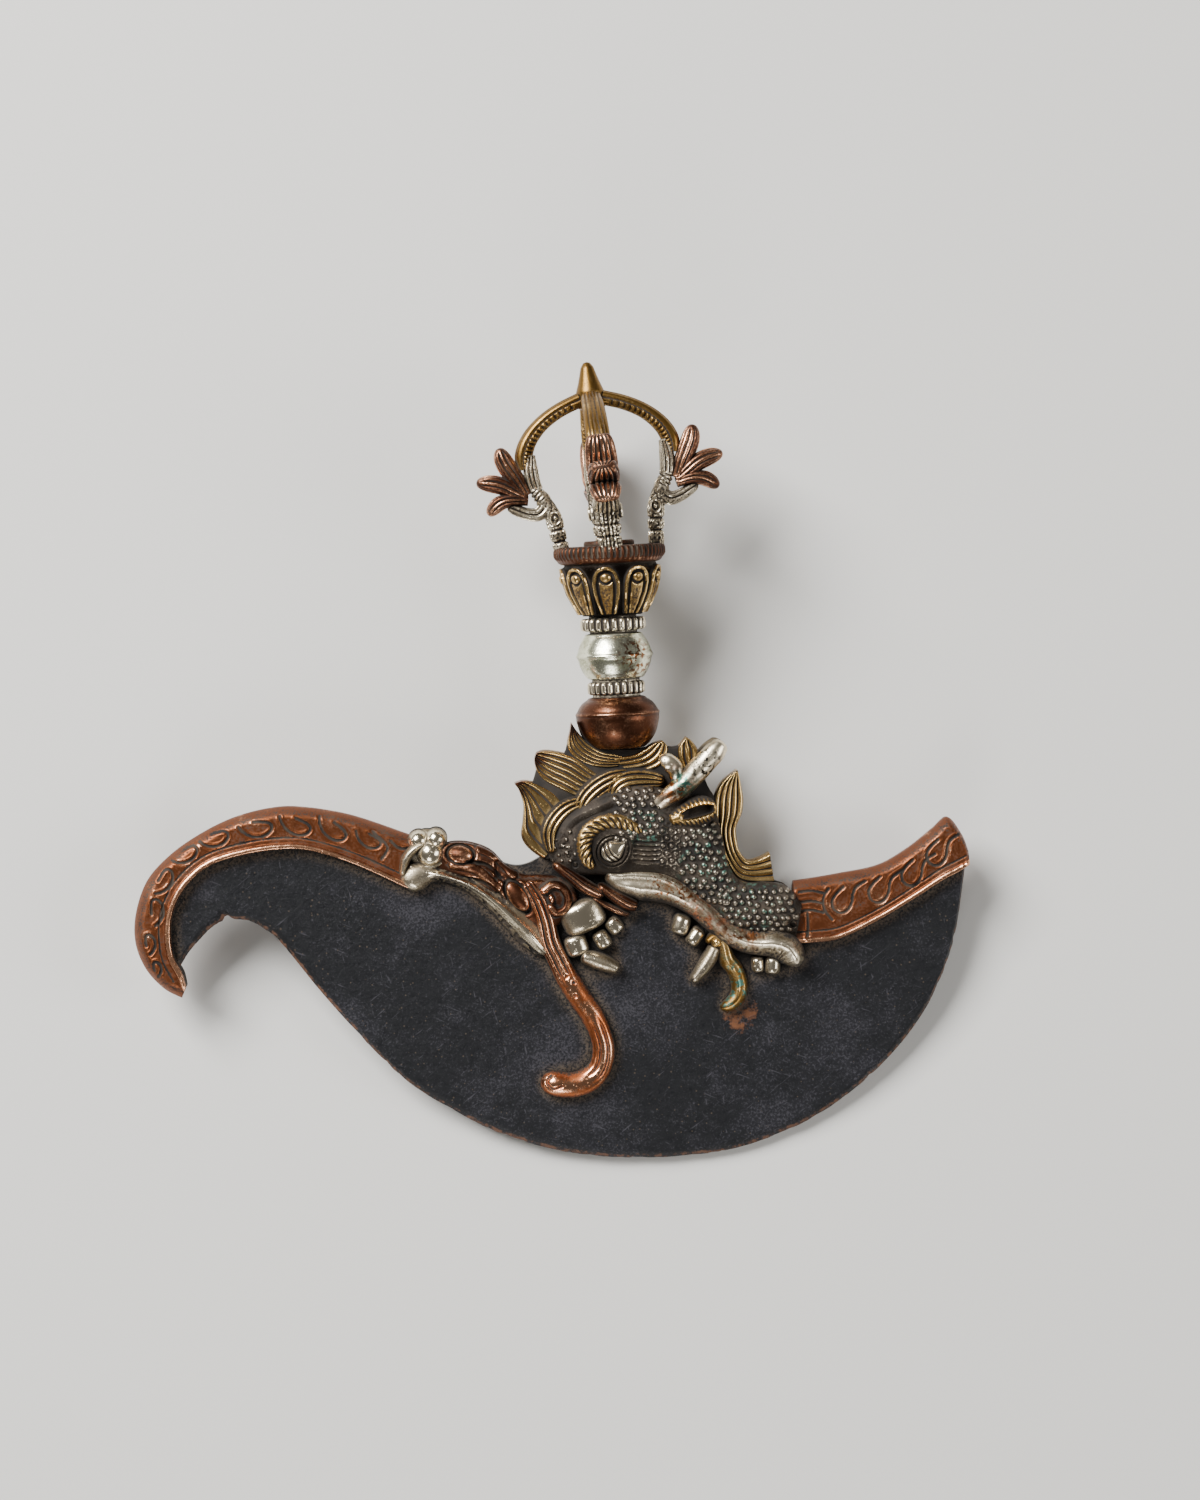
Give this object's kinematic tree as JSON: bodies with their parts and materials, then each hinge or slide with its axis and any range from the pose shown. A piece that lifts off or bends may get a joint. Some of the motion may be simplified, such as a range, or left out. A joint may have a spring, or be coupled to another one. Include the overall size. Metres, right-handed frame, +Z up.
{
  "type": "ritual chopper",
  "caption": "Crescent iron chopper with a hooked blade, a scaled sea-dragon head on each face and a prong-cage handle.",
  "frame": {"origin": "bottom centre of the box of the object as it lies on a table", "axes": "+Z up, +Y from the cutting edge towards the handle, +X from the hook towards the snout"},
  "size_m": [0.1677, 0.1582, 0.0491],
  "materials": {
    "blade_iron": "blackened, hand-forged, rubbed at the edge",
    "sheath_copper": "aged copper, engraved, bright on the ridges",
    "bright_copper": "rubbed copper with dark recesses",
    "aged_brass": "aged brass with dark recesses",
    "dark_scales": "darkened bronze with traces of green",
    "silver": "rubbed silver with dark specks"
  },
  "bodies": {
    "root": {"blade_plate": "blade_iron", "hook_sheath": "sheath_copper", "tip_sheath": "sheath_copper", "mane_crest": "aged_brass", "mane_fin": "aged_brass", "skull_front": "dark_scales", "skull_back": "dark_scales", "mane_locks_front": "dark_scales", "mane_locks_back": "dark_scales", "horn_front": "silver", "horn_back": "silver", "ear_front": "aged_brass", "ear_back": "aged_brass", "brow_front": "aged_brass", "brow_back": "aged_brass", "eye_socket_front": "silver", "eye_socket_back": "silver", "eyeball_front": "silver", "eyeball_back": "silver", "upper_lip_front": "silver", "upper_lip_back": "silver", "mouth_bar_front": "bright_copper", "mouth_bar_back": "bright_copper", "upper_teeth_front": "silver", "upper_teeth_back": "silver", "whisker_front": "aged_brass", "whisker_back": "aged_brass", "lower_jaw_front": "bright_copper", "lower_jaw_back": "bright_copper", "lower_lip_front": "silver", "lower_lip_back": "silver", "jaw_curls_front": "silver", "jaw_curls_back": "silver", "lower_teeth_front": "silver", "lower_teeth_back": "silver", "tongue_front": "bright_copper", "tongue_back": "bright_copper", "head_rivets": "sheath_copper", "copper_bead": "sheath_copper", "lower_ring": "silver", "silver_bead": "silver", "upper_ring": "silver", "lotus_cup": "dark_scales", "lotus_petals": "aged_brass", "ribbed_disc": "sheath_copper", "tang_washer": "dark_scales", "middle_prong": "aged_brass", "prong_throat_left": "silver", "prong_throat_right": "silver", "prong_throat_front": "silver", "prong_throat_back": "silver", "prong_flames_left": "bright_copper", "prong_flames_right": "bright_copper", "prong_flames_front": "bright_copper", "prong_flames_back": "bright_copper", "prong_arm_left": "aged_brass", "prong_arm_right": "aged_brass", "prong_arm_front": "aged_brass", "prong_arm_back": "aged_brass"}
  },
  "joints": []
}
